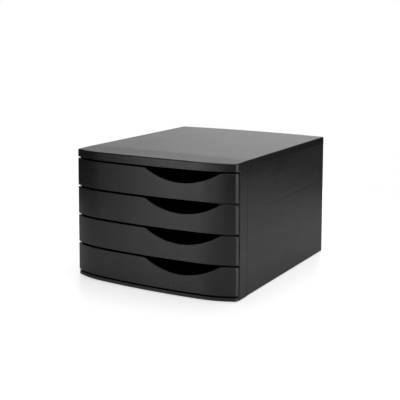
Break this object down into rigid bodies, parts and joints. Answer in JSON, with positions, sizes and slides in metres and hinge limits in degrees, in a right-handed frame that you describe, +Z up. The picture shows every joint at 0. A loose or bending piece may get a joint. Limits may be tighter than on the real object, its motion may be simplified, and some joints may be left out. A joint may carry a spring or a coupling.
{
  "type": "letter tray stack with drawers",
  "caption": "Free-standing desk unit with letter drawers that slide out under a bowed top cover, each front bowed and cut with an off-centre finger scoop",
  "frame": {"origin": "centre of the bounding box's bottom face, on the surface the feet stand on", "axes": "+Z up, -Y forwards, the way the drawers open, +X to the right of someone facing the fronts from the front"},
  "size_m": [0.3, 0.365, 0.215],
  "materials": {
    "cover_plastic": "fine satin texture",
    "panel_plastic": "fine satin texture",
    "base_plastic": "fine satin texture",
    "front_plastic": "satin",
    "tray_plastic": "matt",
    "inner_plastic": "matt",
    "foot_rubber": "matt"
  },
  "bodies": {
    "housing": {"top_cover": "cover_plastic", "left_side_panel": "panel_plastic", "right_side_panel": "panel_plastic", "back_panel": "inner_plastic", "base_plate": "base_plastic", "cross_rail_1": "inner_plastic", "cross_rail_2": "inner_plastic", "cross_rail_3": "inner_plastic", "foot_front_left": "foot_rubber", "foot_front_right": "foot_rubber", "foot_back_left": "foot_rubber", "foot_back_right": "foot_rubber"},
    "drawer_1": {"drawer_front_1": "front_plastic", "drawer_tray_1": "tray_plastic"},
    "drawer_2": {"drawer_front_2": "front_plastic", "drawer_tray_2": "tray_plastic"},
    "drawer_3": {"drawer_front_3": "front_plastic", "drawer_tray_3": "tray_plastic"},
    "drawer_4": {"drawer_front_4": "front_plastic", "drawer_tray_4": "tray_plastic"}
  },
  "joints": [
    {"name": "drawer_1_slide", "type": "slide", "parent": "housing", "child": "drawer_1", "axis": [0, -1, 0], "range_m": [0, 0.25]},
    {"name": "drawer_2_slide", "type": "slide", "parent": "housing", "child": "drawer_2", "axis": [0, -1, 0], "range_m": [0, 0.25]},
    {"name": "drawer_3_slide", "type": "slide", "parent": "housing", "child": "drawer_3", "axis": [0, -1, 0], "range_m": [0, 0.25]},
    {"name": "drawer_4_slide", "type": "slide", "parent": "housing", "child": "drawer_4", "axis": [0, -1, 0], "range_m": [0, 0.25]}
  ]
}
